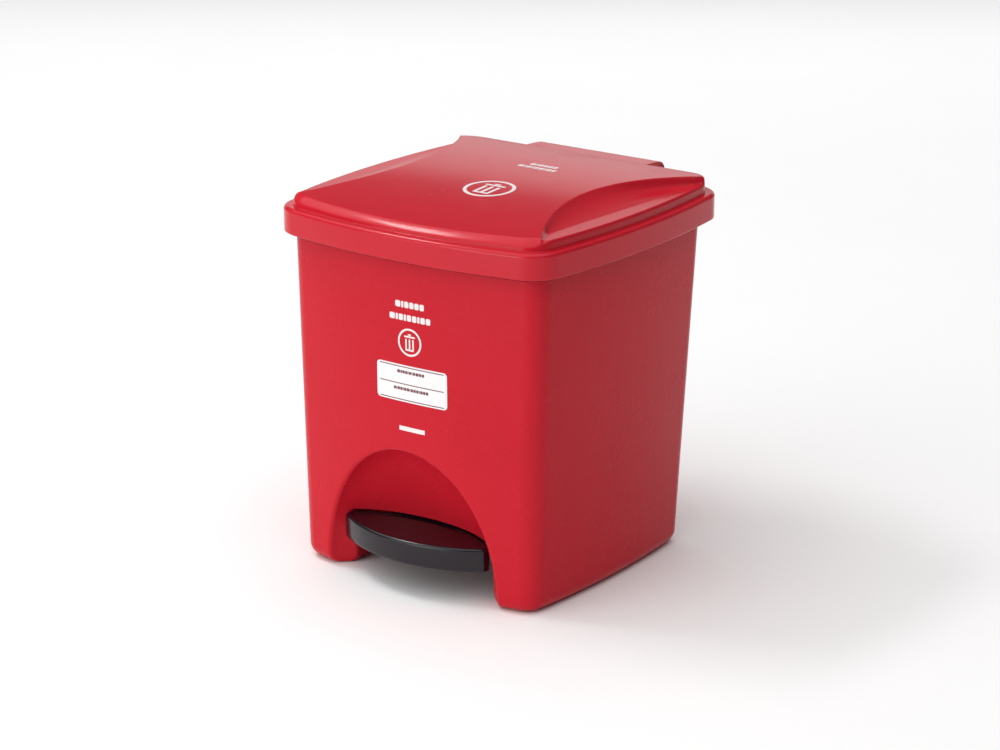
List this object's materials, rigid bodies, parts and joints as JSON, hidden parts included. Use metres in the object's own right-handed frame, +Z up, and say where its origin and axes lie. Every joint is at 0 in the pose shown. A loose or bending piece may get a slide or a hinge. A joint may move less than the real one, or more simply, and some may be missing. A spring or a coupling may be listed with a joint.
{
  "type": "pedal bin",
  "caption": "Free-standing pedal bin with a tapered casing, scooped toe recess, black foot pedal, domed hinged lid and lift-out inner bucket.",
  "frame": {"origin": "centre of the bin's overall footprint, on the floor", "axes": "-Y is the front, with the pedal, +X is to the right of a viewer who faces the front, +Y is the back, where the lid hinges, +Z up"},
  "size_m": [0.3862, 0.3972, 0.4323],
  "materials": {
    "casing_red": "satin moulded polypropylene",
    "lid_red": "satin moulded polypropylene",
    "pedal_black": "semi-gloss moulded plastic",
    "bucket_grey": "plain moulded polypropylene",
    "panel_white": "printed writing panel",
    "zinc_steel": "zinc plated steel",
    "bright_steel": "drawn steel rod",
    "spring_steel": "dark spring steel",
    "screw_steel": "zinc plated screws",
    "bush_black": "black acetal bush",
    "black_steel": "black coated steel",
    "buffer_rubber": "soft rubber"
  },
  "bodies": {
    "casing": {"outer_casing": "casing_red", "writing_panel": "panel_white", "hinge_rod": "bright_steel", "hinge_rod_caps": "spring_steel", "pedal_axle": "bright_steel", "axle_push_caps": "spring_steel", "inner_bucket": "bucket_grey"},
    "lid": {"lid_shell": "lid_red", "lid_buffer_front_left": "buffer_rubber", "lid_buffer_front_right": "buffer_rubber", "lid_buffer_rear_left": "buffer_rubber", "lid_buffer_rear_right": "buffer_rubber", "lift_bracket": "zinc_steel", "lift_bracket_screws": "screw_steel"},
    "lift_rod": {"lift_rod": "bright_steel", "lift_rod_push_caps": "spring_steel"},
    "pedal": {"pedal_pad": "pedal_black", "pedal_lever": "black_steel", "pedal_screws": "screw_steel", "pedal_bush_left": "bush_black", "pedal_bush_right": "bush_black"}
  },
  "joints": [
    {"name": "lid_hinge", "type": "hinge", "parent": "casing", "child": "lid", "pos_m": [0, 0.1891, 0.409], "axis": [-1, 0, 0], "range_deg": [0, 65]},
    {"name": "pedal_press", "type": "hinge", "parent": "casing", "child": "pedal", "pos_m": [0, -0.082, 0.034], "axis": [1, 0, 0], "range_deg": [0, 16.8]},
    {"name": "lift_rod_swing", "type": "hinge", "parent": "lid", "child": "lift_rod", "pos_m": [0, 0.1425, 0.382], "axis": [-1, 0, 0], "range_deg": [-65, 0]}
  ],
  "couplings": [
    {"joint": "pedal_press", "follows": "lid_hinge", "ratio": 0.2583},
    {"joint": "lift_rod_swing", "follows": "lid_hinge", "ratio": -1}
  ]
}
